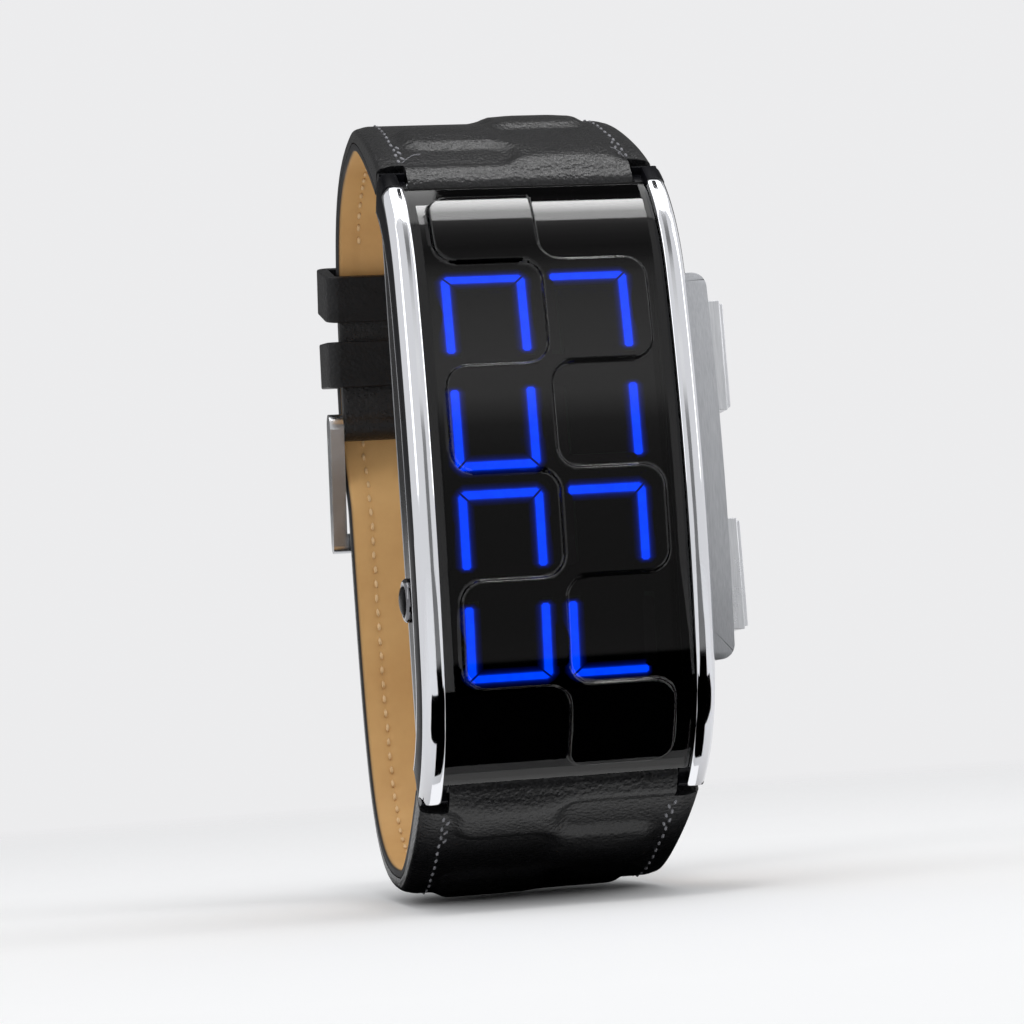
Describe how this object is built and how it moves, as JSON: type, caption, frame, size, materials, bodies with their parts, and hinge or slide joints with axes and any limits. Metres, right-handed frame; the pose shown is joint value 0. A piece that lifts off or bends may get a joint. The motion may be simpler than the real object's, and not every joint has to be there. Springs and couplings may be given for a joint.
{
  "type": "led wristwatch",
  "caption": "Wristwatch with a curved smoked display of glowing blue bars, polished side rails, side pushers and a padded black leather strap with a pin buckle.",
  "frame": {"origin": "middle of the wrist inside the closed strap, level with the middle of the display", "axes": "+Z to 12 o'clock, +X to the two pushers, and the display faces -Y"},
  "size_m": [0.0297, 0.053, 0.0726],
  "materials": {
    "black_steel": "satin black coated steel",
    "polished_steel": "mirror polished",
    "brushed_steel": "fine brushed along the case",
    "smoked_glass": "glossy smoked black lens",
    "black_rubber": "matt",
    "black_plastic": "matt black mask",
    "light_blue": "lit blue light bars",
    "board_green": "solder-masked board",
    "ivory_plastic": "moulded works frame",
    "chip_black": "moulded chip",
    "gold_contact": "gold-plated spring leaves",
    "cell_steel": "nickel-plated cell can",
    "spring_steel": "bright spring wire and pins",
    "gloss_black": "glossy black cap",
    "black_leather": "grained, black edges",
    "tan_leather": "smooth tan lining"
  },
  "bodies": {
    "case": {"middle_case": "black_steel", "rail_left": "polished_steel", "rail_right": "polished_steel", "display_lens": "smoked_glass", "lens_gasket": "black_rubber", "segment_mask": "black_plastic", "light_bars": "light_blue", "led_board": "board_green", "works_frame": "ivory_plastic", "main_board": "board_green", "controller_chip": "chip_black", "quartz_crystal": "spring_steel", "switch_contacts": "gold_contact", "cell_upper": "cell_steel", "cell_lower": "cell_steel", "cell_contacts": "gold_contact", "case_back": "brushed_steel", "case_back_gasket": "black_rubber", "case_back_screws": "spring_steel", "side_plate": "brushed_steel", "side_plate_screws": "spring_steel", "stud_collar": "polished_steel", "stud_cap": "gloss_black", "pusher_spring_upper": "spring_steel", "pusher_spring_lower": "spring_steel", "spring_bar_upper": "spring_steel", "spring_bar_lower": "spring_steel"},
    "button_upper": {"pusher_upper": "brushed_steel", "pusher_seal_upper": "black_rubber", "pusher_clip_upper": "spring_steel"},
    "button_lower": {"pusher_lower": "brushed_steel", "pusher_seal_lower": "black_rubber", "pusher_clip_lower": "spring_steel"},
    "strap_short": {"strap_short_leather": "black_leather", "strap_short_lining": "tan_leather", "keeper_fixed": "black_leather", "buckle_bar": "spring_steel"},
    "keeper": {"keeper_free": "black_leather"},
    "buckle": {"buckle_frame": "polished_steel"},
    "tongue": {"buckle_tongue": "polished_steel"},
    "strap_long": {"strap_long_leather": "black_leather", "strap_long_lining": "tan_leather"}
  },
  "joints": [
    {"name": "pusher_upper_slide", "type": "slide", "parent": "case", "child": "button_upper", "axis": [-1, 0, 0], "range_m": [0, 0.0007], "stiffness_N_per_m": 300, "springref_m": -0.0015, "deforming": ["pusher_spring_upper"]},
    {"name": "pusher_lower_slide", "type": "slide", "parent": "case", "child": "button_lower", "axis": [-1, 0, 0], "range_m": [0, 0.0007], "stiffness_N_per_m": 300, "springref_m": -0.0015, "deforming": ["pusher_spring_lower"]},
    {"name": "strap_short_swing", "type": "hinge", "parent": "case", "child": "strap_short", "pos_m": [0, -0.01749, 0.02581], "axis": [1, 0, 0], "range_deg": [0, 60], "deforming": ["strap_short_leather", "strap_short_lining", "strap_long_leather", "strap_long_lining"]},
    {"name": "strap_long_swing", "type": "hinge", "parent": "case", "child": "strap_long", "pos_m": [0, -0.01749, -0.02581], "axis": [-1, 0, 0], "range_deg": [0, 60], "deforming": ["strap_short_leather", "strap_short_lining", "strap_long_leather", "strap_long_lining"]},
    {"name": "keeper_slide", "type": "slide", "parent": "strap_short", "child": "keeper", "axis": [0, -0.29, 0.957], "range_m": [-0.0015, 0.001]},
    {"name": "buckle_hinge", "type": "hinge", "parent": "strap_short", "child": "buckle", "pos_m": [0, 0.02114, 0.01026], "axis": [1, 0, 0], "range_deg": [0, 10], "deforming": ["strap_long_leather", "strap_long_lining"]},
    {"name": "tongue_hinge", "type": "hinge", "parent": "buckle", "child": "tongue", "pos_m": [0, 0.02114, 0.01026], "axis": [1, 0, 0], "range_deg": [0, 8], "deforming": ["strap_long_leather", "strap_long_lining"]}
  ]
}
